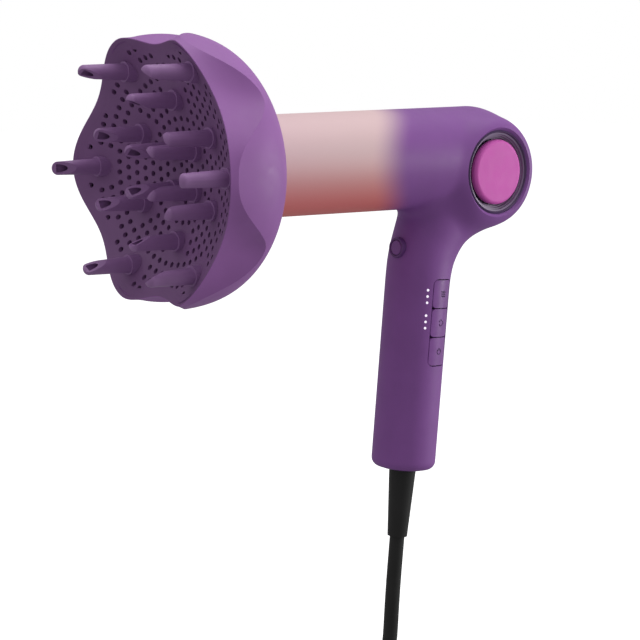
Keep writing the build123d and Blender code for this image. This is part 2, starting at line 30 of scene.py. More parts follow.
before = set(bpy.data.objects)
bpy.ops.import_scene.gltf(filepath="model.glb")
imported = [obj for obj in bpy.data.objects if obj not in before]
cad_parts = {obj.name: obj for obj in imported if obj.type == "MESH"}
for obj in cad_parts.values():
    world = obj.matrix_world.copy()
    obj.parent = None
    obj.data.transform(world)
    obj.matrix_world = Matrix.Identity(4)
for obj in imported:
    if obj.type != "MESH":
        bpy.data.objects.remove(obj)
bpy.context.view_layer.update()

# ---- dimensions, as in the CAD model --------------------------------------------------
AXIS_Z = 0.100            # barrel axis
WALL = 0.0023
BARREL_FRONT = -0.1318
BARREL_R_FRONT = 0.0276
BARREL_R_BACK = 0.0299
POD = Vector((0, 0.0412, 0.0932))
POD_HALF = 0.0295
INLET_Z = 0.0917
INLET_R = 0.0248
BEVEL = 0.002
RAKE = math.radians(5.4)
HANDLE_R = 0.0193
HANDLE_FOOT = -0.0856
FOOT_ROUND = 0.005
# where the handle widens into the pod: height, front line, back line, half width
FLARE = [
    (0.024, -0.0193, 0.0193, 0.0193),
    (0.034, -0.0193, 0.0197, 0.0193),
    (0.044, -0.0189, 0.0230, 0.0195),
    (0.054, -0.0168, 0.0310, 0.0202),
    (0.064, -0.0144, 0.0435, 0.0216),
    (0.074, -0.0120, 0.0535, 0.0230),
    (0.084, -0.0100, 0.0580, 0.0236),
]
BUTTON_TURN = math.radians(12.0)   # how far the keys sit behind the handle's +X side
BUTTON_PITCH = 0.0171
BUTTON_MID = 0.0043       # middle key's centre along the handle
BUTTON_WIDE = 0.0156
BUTTON_GAP = 0.0006
COOL_S = 0.0468           # round cool-shot button, along the handle's front
COOL_R = 0.0044
COOL_FACE = -0.0189
RELIEF_LONG = 0.0425
CORD_D = 0.009
FLOOR_Z = -0.256          # the surface that the spare cord lies on
COIL = Vector((0.057, -0.070, 0))
COIL_RADII = (0.057, 0.048, 0.0435, 0.0525, 0.0615)
LAYER = 0.0078            # height between the coil's two layers
PLUG_TURN = 60.0          # where round the coil the lead leaves for the plug


def on_handle(height):
    return Vector((0, height * math.sin(RAKE), height * math.cos(RAKE)))


def polar(radius, degrees):
    turn = math.radians(degrees)
    return Vector((radius * math.cos(turn), radius * math.sin(turn), 0))


def arc(radius, start, end, across=0.0, up=0.0, steps=20):
    """(across, up) points from one angle in degrees to another."""
    turns = [math.radians(start + (end - start) * k / steps) for k in range(steps + 1)]
    return [(across + radius * math.cos(a), up + radius * math.sin(a)) for a in turns]


def ease(value):
    """From 0 to 1 with a gentle start and end."""
    value = min(max(value, 0.0), 1.0)
    return value * value * (3 - 2 * value)


# ---- camera, light and stage ----------------------------------------------------------
CAMERA_PLACE = Vector((0.6561, -0.6185, 0.1537))
CAMERA_AIM = Vector((0, -0.0731, 0.0115))
LENS_MM = 85.72
SENSOR_MM = 36
LIGHT_AIM = Vector((0, -0.06, 0.03))
# place, width across, watts
LIGHTS = {
    "light_top": (Vector((0.1, 0.25, 1.5)), 1.6, 12),
    "light_right": (Vector((0.8, 1.3, 0.1)), 0.5, 10),
    "light_left": (Vector((-0.6, -1.3, 0.9)), 1.0, 1.5),
}
ROOM_LOW = 0.33           # the room's own light from below, and from above
ROOM_HIGH = 0.46
FLOOR_HALF = 8.0
FLOOR_GAP = 0.0005        # keeps the floor just clear of what lies on it


def make_camera():
    data = bpy.data.cameras.new("camera")
    data.lens = LENS_MM
    data.sensor_width = SENSOR_MM
    data.clip_start = 0.05
    data.clip_end = 30
    camera = bpy.data.objects.new("camera", data)
    bpy.context.collection.objects.link(camera)
    camera.location = CAMERA_PLACE
    camera.rotation_euler = (CAMERA_AIM - CAMERA_PLACE).to_track_quat("-Z", "Y").to_euler()
    bpy.context.scene.camera = camera


def make_lights():
    for name, (place, size, energy) in LIGHTS.items():
        data = bpy.data.lights.new(name, "AREA")
        data.shape = "DISK"
        data.size = size
        data.energy = energy
        light = bpy.data.objects.new(name, data)
        bpy.context.collection.objects.link(light)
        light.location = place
        light.rotation_euler = (LIGHT_AIM - place).to_track_quat("-Z", "Y").to_euler()


def make_world():
    """Soft light that is stronger from above; the camera itself sees plain white."""
    world = bpy.data.worlds.new("studio")
    world.use_nodes = True
    tree = world.node_tree
    tree.nodes.clear()
    where = tree.nodes.new("ShaderNodeTexCoord")
    parts = tree.nodes.new("ShaderNodeSeparateXYZ")
    level = tree.nodes.new("ShaderNodeMapRange")
    limits = {"From Min": -0.5, "From Max": 0.9, "To Min": ROOM_LOW, "To Max": ROOM_HIGH}
    for key, number in limits.items():
        level.inputs[key].default_value = number
    soft = tree.nodes.new("ShaderNodeBackground")
    plain = tree.nodes.new("ShaderNodeBackground")
    plain.inputs["Color"].default_value = (1, 1, 1, 1)
    soft.inputs["Color"].default_value = (1, 1, 1, 1)
    path = tree.nodes.new("ShaderNodeLightPath")
    choose = tree.nodes.new("ShaderNodeMixShader")
    out = tree.nodes.new("ShaderNodeOutputWorld")
    tree.links.new(where.outputs["Generated"], parts.inputs[0])
    tree.links.new(parts.outputs["Z"], level.inputs["Value"])
    tree.links.new(level.outputs["Result"], soft.inputs["Strength"])
    tree.links.new(path.outputs["Is Camera Ray"], choose.inputs[0])
    tree.links.new(soft.outputs[0], choose.inputs[1])
    tree.links.new(plain.outputs[0], choose.inputs[2])
    tree.links.new(choose.outputs[0], out.inputs["Surface"])
    bpy.context.scene.world = world
    bpy.context.scene.view_settings.view_transform = "Standard"


def make_stage():
    """Wide pale floor; it takes a faint shadow and doesn't light the object from below."""
    mesh = bpy.data.meshes.new("floor")
    corners = [(-FLOOR_HALF, -FLOOR_HALF), (FLOOR_HALF, -FLOOR_HALF),
               (FLOOR_HALF, FLOOR_HALF), (-FLOOR_HALF, FLOOR_HALF)]
    mesh.from_pydata([(x, y, FLOOR_Z - FLOOR_GAP) for x, y in corners], [], [(0, 1, 2, 3)])
    floor = bpy.data.objects.new("floor", mesh)
    bpy.context.collection.objects.link(floor)
    material = bpy.data.materials.new("floor")
    material.use_nodes = True
    shader = material.node_tree.nodes["Principled BSDF"]
    shader.inputs["Base Color"].default_value = (0.5, 0.5, 0.5, 1)
    shader.inputs["Roughness"].default_value = 0.9
    shader.inputs["Emission Color"].default_value = (1, 1, 1, 1)
    shader.inputs["Emission Strength"].default_value = 0.9
    mesh.materials.append(material)
    floor.visible_diffuse = False
    floor.visible_glossy = False


# ---- materials ------------------------------------------------------------------------
PATCHES = 55.0            # scale of the faint patches in a surface's colour, and in its gloss
GLOSS_PATCHES = 220.0
SPECULAR = 0.3


def colour(red, green, blue):
    """Linear colour from eight-bit screen values."""
    parts = []
    for value in (red, green, blue):
        part = value / 255
        parts.append(part / 12.92 if part <= 0.04045 else ((part + 0.055) / 1.055) ** 2.4)
    return (*parts, 1.0)


class Nodes:
    """A material's node tree with the shader and the object's own coordinates."""

    def __init__(self, name):
        self.material = bpy.data.materials.new(name)
        self.material.use_nodes = True
        self.tree = self.material.node_tree
        self.shader = self.tree.nodes["Principled BSDF"]
        self.where = self.add("ShaderNodeTexCoord").outputs["Object"]

    def add(self, kind, **values):
        node = self.tree.nodes.new(kind)
        for key, value in values.items():
            setattr(node, key, value)
        return node

    def link(self, output, socket):
        self.tree.links.new(output, socket)

    def noise(self, scale, detail=3.0):
        node = self.add("ShaderNodeTexNoise")
        node.inputs["Scale"].default_value = scale
        node.inputs["Detail"].default_value = detail
        self.link(self.where, node.inputs["Vector"])
        return node.outputs["Fac"]

    def between(self, value, low, high, start=0.0, end=1.0):
        node = self.add("ShaderNodeMapRange", interpolation_type="SMOOTHSTEP")
        limits = {"From Min": low, "From Max": high, "To Min": start, "To Max": end}
        for key, number in limits.items():
            node.inputs[key].default_value = number
        self.link(value, node.inputs["Value"])
        return node.outputs["Result"]

    def math(self, operation, first, second):
        node = self.add("ShaderNodeMath", operation=operation)
        for socket, value in zip(node.inputs, (first, second)):
            if isinstance(value, (int, float)):
                socket.default_value = value
            else:
                self.link(value, socket)
        return node.outputs[0]

    def mix(self, factor, first, second):
        node = self.add("ShaderNodeMix", data_type="RGBA")
        self.link(factor, node.inputs[0])
        for socket, value in ((node.inputs[6], first), (node.inputs[7], second)):
            if isinstance(value, tuple):
                socket.default_value = value
            else:
                self.link(value, socket)
        return node.outputs[2]

    def mottled(self, tint, shade):
        """The tint with faint darker patches."""
        darker = tuple(part * shade for part in tint[:3]) + (1.0,)
        return self.mix(self.between(self.noise(PATCHES), 0.3, 0.7), darker, tint)

    def finish(self, rough, spread, grain, depth, strength=0.5):
        """Gloss that wanders about the given roughness, and a fine grain."""
        gloss = self.between(self.noise(GLOSS_PATCHES), 0.25, 0.75, rough - spread, rough + spread)
        self.link(gloss, self.shader.inputs["Roughness"])
        self.shader.inputs["Specular IOR Level"].default_value = SPECULAR
        bump = self.add("ShaderNodeBump")
        bump.inputs["Strength"].default_value = strength
        bump.inputs["Distance"].default_value = depth
        self.link(self.noise(grain, 2.0), bump.inputs["Height"])
        self.link(bump.outputs["Normal"], self.shader.inputs["Normal"])


def moulded(name, tint, rough, grain=1800.0, depth=0.00002, metallic=0.0, shade=0.86):
    """Moulded or coated surface: faint mottling, uneven gloss and a fine grain."""
    nodes = Nodes(name)
    nodes.link(nodes.mottled(tint, shade), nodes.shader.inputs["Base Color"])
    nodes.finish(rough, 0.05, grain, depth)
    nodes.shader.inputs["Metallic"].default_value = metallic
    return nodes.material


PURPLE = colour(142, 88, 164)
PURPLE_DEEP = colour(112, 66, 134)
# painted light and shade: the rose is lighter on top and darker and redder underneath, as the light falls
# on it
ROSE_PAINTED_LIT = colour(232, 201, 203)
ROSE_PAINTED_SHADE = colour(230, 124, 122)
ROSE_SHADE_LOW = 0.074          # heights between which the rose's painted shade, darker and redder below, gives way to its painted lit top
ROSE_SHADE_HIGH = 0.112
FADE_FROM = -0.041        # places along the top between which rose turns purple
FADE_TO = -0.011
FADE_SOONER = 0.022       # how much nearer the outlet it does so at the sides
PURPLE_FROM = 0.071       # heights between which the barrel gives way to the all-purple handle
PURPLE_BELOW = 0.064


def housing_paint_and_shade():
    """Rose at the outlet that fades into purple, further back along the top than at the sides; the rose
    also carries painted shade, darker and redder lower down.
    """
    nodes = Nodes("housing_paint")
    parts = nodes.add("ShaderNodeSeparateXYZ")
    nodes.link(nodes.where, parts.inputs[0])
    across, along, height = parts.outputs
    side = nodes.math("MULTIPLY", across, across)
    side = nodes.math("MULTIPLY", side, FADE_SOONER / BARREL_R_BACK ** 2)
    fade = nodes.between(nodes.math("ADD", along, side), FADE_FROM, FADE_TO)
    fade = nodes.math("MAXIMUM", fade, nodes.between(height, PURPLE_FROM, PURPLE_BELOW))
    # painted shade: the rose darkens and reddens towards the bottom
    rose = nodes.mix(nodes.between(height, ROSE_SHADE_LOW, ROSE_SHADE_HIGH), ROSE_PAINTED_SHADE, ROSE_PAINTED_LIT)
    nodes.link(nodes.mix(fade, rose, nodes.mottled(PURPLE, 0.93)), nodes.shader.inputs["Base Color"])
    nodes.finish(0.52, 0.04, 2200.0, 0.00001, 0.35)
    return nodes.material


def board_green():
    """Printed circuit board with a faint pattern of tracks under the lacquer."""
    nodes = Nodes("board_green")
    tracks = nodes.add("ShaderNodeTexBrick")
    tracks.inputs["Scale"].default_value = 140.0
    tracks.inputs["Mortar Size"].default_value = 0.05
    tracks.inputs["Color1"].default_value = colour(24, 92, 52)
    tracks.inputs["Color2"].default_value = colour(30, 104, 60)
    tracks.inputs["Mortar"].default_value = colour(70, 140, 80)
    nodes.link(nodes.where, tracks.inputs["Vector"])
    nodes.link(tracks.outputs["Color"], nodes.shader.inputs["Base Color"])
    nodes.link(nodes.between(nodes.noise(300.0), 0.3, 0.7, 0.3, 0.45), nodes.shader.inputs["Roughness"])
    return nodes.material


def lamp_white():
    """Milky lens with a light behind it."""
    material = moulded("lamp_white", colour(244, 236, 250), 0.25, shade=0.97)
    shader = material.node_tree.nodes["Principled BSDF"]
    shader.inputs["Emission Color"].default_value = colour(250, 240, 255)
    shader.inputs["Emission Strength"].default_value = 0.7
    return material


def rubber(name, tint, rough):
    return moulded(name, tint, rough, 3000.0, 0.00003, shade=0.8)


def make_materials():
    return {
        "housing_paint": housing_paint_and_shade(),
        "trim_purple": moulded("trim_purple", PURPLE_DEEP, 0.4),
        "key_purple": moulded("key_purple", PURPLE, 0.36),
        "diffuser_outer": moulded("diffuser_outer", colour(164, 108, 180), 0.52, shade=0.94),
        "diffuser_inner": moulded("diffuser_inner", colour(138, 98, 148), 0.5, shade=0.92),
        "diffuser_prong": moulded("diffuser_prong", colour(160, 118, 172), 0.45, shade=0.93),
        "inlet_dark": moulded("inlet_dark", colour(88, 68, 106), 0.4),
        "inlet_mesh": moulded("inlet_mesh", colour(110, 96, 124), 0.45),
        "inlet_ribs": moulded("inlet_ribs", colour(140, 120, 152), 0.4),
        "sign_dark": moulded("sign_dark", colour(78, 46, 96), 0.4),
        "disc_pink": moulded("disc_pink", colour(228, 104, 200), 0.6, shade=0.95),
        "lamp_white": lamp_white(),
        "board_green": board_green(),
        "switch_black": moulded("switch_black", colour(30, 30, 32), 0.5),
        "inner_black": moulded("inner_black", colour(38, 38, 42), 0.55),
        "mica": moulded("mica", colour(196, 180, 150), 0.5, 900.0, 0.00006),
        "heater_wire": moulded("heater_wire", colour(170, 150, 130), 0.35, metallic=1.0),
        "steel": moulded("steel", colour(190, 190, 195), 0.3, metallic=1.0),
        "fan_grey": moulded("fan_grey", colour(70, 70, 76), 0.4),
        "seal_rubber": rubber("seal_rubber", colour(40, 36, 44), 0.7),
        "cord_black": rubber("cord_black", colour(38, 38, 38), 0.5),
        "tie_black": rubber("tie_black", colour(22, 22, 23), 0.6),
        "plug_black": rubber("plug_black", colour(28, 28, 29), 0.5),
        "pin_metal": moulded("pin_metal", colour(205, 200, 190), 0.22, metallic=1.0),
    }


# ---- the cord -------------------------------------------------------------------------
# from the handle's foot down to the top of its own coil, as the CAD model's route goes
CORD_ROUTE = [
    on_handle(HANDLE_FOOT + 0.002),
    on_handle(HANDLE_FOOT - RELIEF_LONG),
    Vector((0, -0.0156, -0.1630)),
    Vector((0, -0.0180, -0.2056)),
    Vector((0, -0.0320, -0.2297)),
    Vector((0, -0.0561, -0.2437)),
]
COIL_START = 193.0
COIL_END = 5 * 360 + PLUG_TURN
COIL_POINTS = 140
# where the winding moves to the next radius, and how long it takes, in degrees along it
COIL_STEPS = (435.0, 900.0, 1200.0, 1560.0)
STEP_SPAN = 90
COIL_CROSSING = 0.0016    # how much the cord rises where it passes over the turn below
# from the coil to the plug: distance run, height above the floor
LEAD_RISE = ((0.014, 0.0054), (0.028, 0.0096), (0.041, 0.013))


def coil_points():
    """Two turns on top, then three beside each other on the floor."""
    points = []
    for k in range(COIL_POINTS + 1):
        turn = COIL_START + (COIL_END - COIL_START) * k / COIL_POINTS
        radius = COIL_RADII[0]
        for before, after, start in zip(COIL_RADII, COIL_RADII[1:], COIL_STEPS):
            radius += (after - before) * ease((turn - start) / STEP_SPAN)
        down = ease((turn - COIL_STEPS[1]) / STEP_SPAN)
        rise = ease((turn - COIL_STEPS[0]) / STEP_SPAN)
        fall = ease((turn - COIL_STEPS[0] - STEP_SPAN) / STEP_SPAN)
        height = CORD_D / 2 + LAYER * (1 - down) + COIL_CROSSING * rise * (1 - fall)
        points.append(COIL + polar(radius, turn) + Vector((0, 0, FLOOR_Z + height)))
    return points


def lead_points():
    """From the coil's outer turn into the plug."""
    start = COIL + polar(COIL_RADII[-1], PLUG_TURN)
    return [start + polar(run, PLUG_TURN + 90) + Vector((0, 0, FLOOR_Z + high)) for run, high in LEAD_RISE]


def make_cord(materials):
    curve = bpy.data.curves.new("power_cord", "CURVE")
    curve.dimensions = "3D"
    curve.bevel_depth = CORD_D / 2
    curve.bevel_resolution = 6
    curve.resolution_u = 6
    curve.use_fill_caps = True
    points = CORD_ROUTE + coil_points() + lead_points()
    spline = curve.splines.new("NURBS")
    spline.points.add(len(points) - 1)
    for place, point in zip(points, spline.points):
        point.co = (*place, 1.0)
    spline.order_u = 3
    spline.use_endpoint_u = True
    curve.materials.append(materials["cord_black"])
    cord = bpy.data.objects.new("power_cord", curve)
    bpy.context.collection.objects.link(cord)
    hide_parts("cord_tube", "cord_coil", "plug_lead")
    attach(cord, "dryer")


# ---- the housing as one smooth shell --------------------------------------------------
POD_R = 0.0314            # the pod as a drum, a little smaller and rounder than the CAD model's
POD_ROUND = 0.008
POD_BACK = 0.0018         # the drum sits this much behind the pod's own middle
POD_THIN = 0.0006         # and this much inside the inlets' faces
BARREL_ROUND = 0.0005
BLEND_POD = 0.008
BLEND_HANDLE = 0.008      # at the handle's front, and this much more behind it
BLEND_MORE = 0.008
BEHIND = 0.015            # where along the barrel the wider blend takes over, and how gently
BEHIND_SOFT = 0.004
FLARE_EASE = 0.007        # half the height over which the handle's listed lines are evened out
FLARE_SAMPLES = 9
VOXEL = 0.0013            # grain of the shell's first mesh
PROBE = 0.00005           # step over which a form's slope is measured
TINY = 1e-9               # keeps a division off zero
DRAW_ROUNDS = 4


def barrel_radius(along):
    widening = (BARREL_R_BACK - BARREL_R_FRONT) * (along - BARREL_FRONT) / (POD.y - BARREL_FRONT)
    return BARREL_R_FRONT + widening


def both(first, second, radius):
    """Where two forms overlap, with the edge between them rounded."""
    first = first + radius
    second = second + radius
    outside = np.hypot(np.maximum(first, 0), np.maximum(second, 0))
    return np.minimum(np.maximum(first, second), 0) + outside - radius


def barrel_form(spots):
    """How far each spot lies outside the barrel, which ends in half a ball."""
    across, along, up = spots.T
    tube = np.hypot(across, up - AXIS_Z) - barrel_radius(np.minimum(along, POD.y))
    past = np.maximum(along - POD.y, 0)
    ball = np.sqrt(across ** 2 + past ** 2 + (up - AXIS_Z) ** 2) - BARREL_R_BACK
    return both(np.where(past > 0, ball, tube), BARREL_FRONT - along, BARREL_ROUND)


def pod_form(spots):
    """How far each spot lies outside the round drum between the two inlets."""
    across, along, up = spots.T
    around = np.hypot(along - POD.y - POD_BACK, up - INLET_Z) - POD_R
    return both(around, np.abs(across) - POD_HALF + POD_THIN, POD_ROUND)


def eased_line(up, heights, values):
    """The listed values as a smooth line."""
    steps = np.linspace(-FLARE_EASE, FLARE_EASE, FLARE_SAMPLES)
    return sum(np.interp(up + step, heights, values) for step in steps) / len(steps)


def handle_form(spots):
    """How far each spot lies outside the handle, which has a rounded foot."""
    across, along, high = spots.T
    up = along * math.sin(RAKE) + high * math.cos(RAKE)
    back = along * math.cos(RAKE) - high * math.sin(RAKE)
    heights, *lines = np.array(FLARE).T
    front_line, back_line, wide = (eased_line(up, heights, values) for values in lines)
    deep = (back_line - front_line) / 2
    oval = np.hypot(across / wide, (back - (front_line + back_line) / 2) / deep)
    sides = (oval - 1) * np.minimum(wide, deep)
    ends = np.maximum(HANDLE_FOOT - up, up - heights[-1])
    return both(sides, ends, FOOT_ROUND)


def slope(form, spots):
    """The direction in which a form's value grows."""
    columns = []
    for axis in range(3):
        step = np.zeros(3)
        step[axis] = PROBE
        columns.append((form(spots + step) - form(spots - step)) / (2 * PROBE))
    return np.stack(columns, 1)


def joined(first, second, reach):
    """Two forms as one, with a soft hollow of the given reach where they meet."""
    near = np.maximum(reach - np.abs(first - second), 0) / reach
    return np.minimum(first, second) - near ** 2 * reach / 4


def housing_form(spots):
    """How far each spot lies outside the whole shell."""
    body = joined(barrel_form(spots), pod_form(spots), BLEND_POD)
    behind = 1 / (1 + np.exp(-(spots[:, 1] - BEHIND) / BEHIND_SOFT))
    return joined(body, handle_form(spots), BLEND_HANDLE + BLEND_MORE * behind)


def lathe(profile, place, steps=64, closed=False):
    """Mesh data of a solid of revolution: (radius, height) points about local z, moved by place."""
    points = []
    faces = []
    count = len(profile)
    for k in range(steps):
        turn = 2 * math.pi * k / steps
        for radius, height in profile:
            points.append(place @ Vector((radius * math.cos(turn), radius * math.sin(turn), height)))
    spans = count if closed else count - 1
    for k in range(steps):
        here = k * count
        other = (k + 1) % steps * count
        for j in range(spans):
            after = (j + 1) % count
            faces.append((here + j, other + j, other + after, here + after))
    if not closed:
        faces.append([k * count for k in range(steps)][::-1])
        faces.append([k * count + count - 1 for k in range(steps)])
    return points, faces


def mesh_object(name, points, faces):
    mesh = bpy.data.meshes.new(name)
    mesh.from_pydata([tuple(p) for p in points], [], [tuple(f) for f in faces])
    work = bmesh.new()
    work.from_mesh(mesh)
    bmesh.ops.recalc_face_normals(work, faces=work.faces)
    work.to_mesh(mesh)
    work.free()
    thing = bpy.data.objects.new(name, mesh)
    bpy.context.collection.objects.link(thing)
    return thing


def settle(thing):
    """The object's mesh with its modifiers applied."""
    graph = bpy.context.evaluated_depsgraph_get()
    mesh = bpy.data.meshes.new_from_object(thing.evaluated_get(graph))
    thing.modifiers.clear()
    thing.data = mesh


def cut(thing, cutters):
    for cutter in cutters:
        change = thing.modifiers.new("cut", "BOOLEAN")
        change.operation = "DIFFERENCE"
        change.solver = "MANIFOLD"
        change.object = cutter
    settle(thing)
    for cutter in cutters:
        bpy.data.objects.remove(cutter)


# places with local z up the handle, and back along the barrel
HANDLE = Matrix.Rotation(-RAKE, 4, "X")
ALONG_Y = Matrix.Translation((0, 0, AXIS_Z)) @ Matrix.Rotation(-math.pi / 2, 4, "X")


def inlet_place(side):
    """Local z points out of the pod's side, from the face of its end."""
    turn = Matrix.Rotation(side * math.pi / 2, 4, "Y")
    return Matrix.Translation((side * POD_HALF, POD.y, INLET_Z)) @ turn


def rough_barrel():
    turns = np.linspace(0, math.pi / 2 * 0.97, 12)
    ball = [(BARREL_R_BACK * math.cos(a), POD.y + BARREL_R_BACK * math.sin(a)) for a in turns]
    return lathe([(BARREL_R_FRONT, BARREL_FRONT)] + ball, ALONG_Y)


def rough_pod():
    place = Matrix.Translation(POD) @ Matrix.Rotation(math.pi / 2, 4, "Y")
    return lathe([(POD_R - BEVEL, -POD_HALF), (POD_R, -POD_HALF + BEVEL), (POD_R, POD_HALF - BEVEL),
                  (POD_R - BEVEL, POD_HALF)], place)


def rough_handle(steps=64):
    """Ovals round the handle's axis, skinned and closed at both ends."""
    rings = [(HANDLE_FOOT, -HANDLE_R, HANDLE_R, HANDLE_R)] + FLARE
    points = []
    faces = []
    for height, front, back, wide in rings:
        for k in range(steps):
            turn = 2 * math.pi * k / steps
            across = wide * math.cos(turn)
            along = (front + back) / 2 + (back - front) / 2 * math.sin(turn)
            points.append(HANDLE @ Vector((across, along, height)))
    last = (len(rings) - 1) * steps
    for low in range(0, last, steps):
        high = low + steps
        for k in range(steps):
            other = (k + 1) % steps
            faces.append((low + k, low + other, high + other, high + k))
    faces.append(list(range(steps))[::-1])
    faces.append([last + k for k in range(steps)])
    return points, faces


def rough_housing():
    """Barrel, pod and handle as three closed forms pushed into each other."""
    all_points = []
    all_faces = []
    for points, faces in (rough_barrel(), rough_pod(), rough_handle()):
        first = len(all_points)
        all_points += points
        all_faces += [[first + k for k in face] for face in faces]
    return mesh_object("housing_shell", all_points, all_faces)


def even_out(mesh):
    """Draws each point towards the middle of its neighbours."""
    work = bmesh.new()
    work.from_mesh(mesh)
    bmesh.ops.smooth_vert(work, verts=work.verts, factor=0.5,
                          use_axis_x=True, use_axis_y=True, use_axis_z=True)
    work.to_mesh(mesh)
    work.free()


def draw_onto(mesh, form):
    """Moves the mesh's points onto a form's surface, evened out before every round but the last."""
    for number in range(DRAW_ROUNDS):
        if number < DRAW_ROUNDS - 1:
            even_out(mesh)
        spots = np.empty(len(mesh.vertices) * 3)
        mesh.vertices.foreach_get("co", spots)
        spots = spots.reshape(-1, 3)
        for _ in range(2):
            value = form(spots)
            grow = slope(form, spots)
            spots -= value[:, None] * grow / ((grow ** 2).sum(1)[:, None] + TINY)
        mesh.vertices.foreach_set("co", spots.ravel())
    mesh.update()


WINDOW_CORNER = 0.0036
WINDOW_REACH = (0.012, 0.026)      # the key window's cut runs between these distances out
MOUTH_CUT = (-0.140, -0.125)
COOL_GAP = 0.0018         # round the cool-shot button
COOL_CUT = 0.006
FOOT_CUT = (-0.004, 0.005)         # from the handle's foot down and up
INLET_STEPS = 180


def key_window():
    """Opening for the three keys, with rounded corners."""
    low = BUTTON_MID - 1.5 * BUTTON_PITCH - BUTTON_GAP / 2
    high = BUTTON_MID + 1.5 * BUTTON_PITCH + BUTTON_GAP / 2
    half = BUTTON_WIDE / 2 + BUTTON_GAP
    corners = ((half, high), (-half, high), (-half, low), (half, low))
    outline = []
    for quarter, (across, height) in enumerate(corners):
        middle_across = across - math.copysign(WINDOW_CORNER, across)
        middle_height = height - math.copysign(WINDOW_CORNER, height - BUTTON_MID)
        outline += arc(WINDOW_CORNER, 90 * quarter, 90 * quarter + 90, middle_across, middle_height, 6)
    place = HANDLE @ Matrix.Rotation(BUTTON_TURN, 4, "Z")
    points = [place @ Vector((deep, across, height)) for deep in WINDOW_REACH for across, height in outline]
    count = len(outline)
    faces = [(k, (k + 1) % count, count + (k + 1) % count, count + k) for k in range(count)]
    faces += [list(range(count))[::-1], [count + k for k in range(count)]]
    return mesh_object("key_window", points, faces)


def rod(name, radius, start, end, place, steps):
    """Plain round cutter along local z."""
    return mesh_object(name, *lathe([(radius, start), (radius, end)], place, steps))


def shell_cutters():
    """What opens the closed shell: keys, inlets, outlet, cool-shot button and foot."""
    across = Matrix.Translation((0, POD.y, INLET_Z)) @ Matrix.Rotation(math.pi / 2, 4, "Y")
    cutters = [key_window(), rod("bore", INLET_R, -2 * POD_HALF, 2 * POD_HALF, across, INLET_STEPS)]
    for side in (-1, 1):
        cone = [(INLET_R, -BEVEL), (INLET_R + 3 * BEVEL, 2 * BEVEL)]
        cutters.append(mesh_object("bevel", *lathe(cone, inlet_place(side), INLET_STEPS)))
    cutters.append(rod("mouth", barrel_radius(BARREL_FRONT) - WALL, *MOUTH_CUT, ALONG_Y, 128))
    button = HANDLE @ Matrix.Translation((0, COOL_FACE, COOL_S)) @ Matrix.Rotation(math.pi / 2, 4, "X")
    cutters.append(rod("cool", COOL_R + COOL_GAP, -COOL_CUT, COOL_CUT, button, 64))
    foot = [HANDLE_FOOT + depth for depth in FOOT_CUT]
    cutters.append(rod("cap", HANDLE_R - WALL, *foot, HANDLE, 96))
    return cutters


def make_housing(materials):
    shell = rough_housing()
    voxels = shell.modifiers.new("voxels", "REMESH")
    voxels.mode = "VOXEL"
    voxels.voxel_size = VOXEL
    settle(shell)
    draw_onto(shell.data, housing_form)
    wall = shell.modifiers.new("wall", "SOLIDIFY")
    wall.thickness = WALL
    wall.offset = -1
    settle(shell)
    cut(shell, shell_cutters())
    shell.data.shade_smooth()
    shell.data.set_sharp_from_angle(angle=math.radians(32))
    shell.data.materials.clear()
    shell.data.materials.append(materials["housing_paint"])
    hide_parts("housing")
    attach(shell, "dryer")


# ---- fine parts of the inlets and the keys --------------------------------------------
RIB_COUNT = 4
RIB_STEPS = 6             # points along each rib
RIB_OUTER = (0.0233, -0.0024)      # the funnel's ends: radius, depth from the inlet's face
RIB_INNER = (0.0196, -0.0078)
RIB_HIGH = 0.0007
RIB_LEAN = (-0.8, 0.6)    # the way a rib stands up from the funnel: inwards and out of the inlet
RIB_UNDER = (0.0012, 0.0005)       # the funnel's depth under its outer and inner end
SIGN_R = 0.0193           # the keys' faces lie at this distance from the handle's axis
SIGN_THICK = 0.00017
WAVE_LONG = 0.0019        # half the length of a wave in the warmth sign
WAVE_HIGH = 0.0004
WAVE_ROWS = (-0.0013, 0.0, 0.0013)
BLADE_R = 0.0010
POWER_R = 0.0017


def make_inlet_ribs(materials, side, word):
    """Finely ribbed funnel between the sleeve and the disc."""
    profile = []
    for k in range(RIB_COUNT * RIB_STEPS + 1):
        part = k / (RIB_COUNT * RIB_STEPS)
        ridge = RIB_HIGH * (1 - math.cos(2 * math.pi * part * RIB_COUNT)) / 2
        radius = RIB_OUTER[0] + (RIB_INNER[0] - RIB_OUTER[0]) * part
        height = RIB_OUTER[1] + (RIB_INNER[1] - RIB_OUTER[1]) * part
        profile.append((radius + ridge * RIB_LEAN[0], height + ridge * RIB_LEAN[1]))
    profile += [(RIB_INNER[0], RIB_INNER[1] - RIB_UNDER[1]), (RIB_OUTER[0], RIB_OUTER[1] - RIB_UNDER[0])]
    ribs = mesh_object("inlet_ribs_" + word, *lathe(profile, inlet_place(side), 160, closed=True))
    ribs.data.shade_smooth()
    ribs.data.set_sharp_from_angle(angle=math.radians(60))
    ribs.data.materials.append(materials["inlet_ribs"])
    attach(ribs, "dryer")


def sign_lines():
    """For each key its sign, as lines of (across, up) points: warmth, air, power."""
    waves = []
    for row in WAVE_ROWS:
        line = [(WAVE_LONG * (k / 12 - 1), row + WAVE_HIGH * math.sin(math.pi * k / 6)) for k in range(25)]
        waves.append(line)
    blades = []
    for turn in (0, 120, 240):
        lean = math.radians(turn + 120)
        across = BLADE_R * math.cos(lean)
        up = BLADE_R * math.sin(lean)
        blades.append(arc(BLADE_R, 30 + turn, 210 + turn, across, up))
    power = [arc(POWER_R, 120, 420), [(0.0, 0.0004 + 0.0002 * k) for k in range(10)]]
    return {"heat_button": waves, "speed_button": blades, "power_button": power}


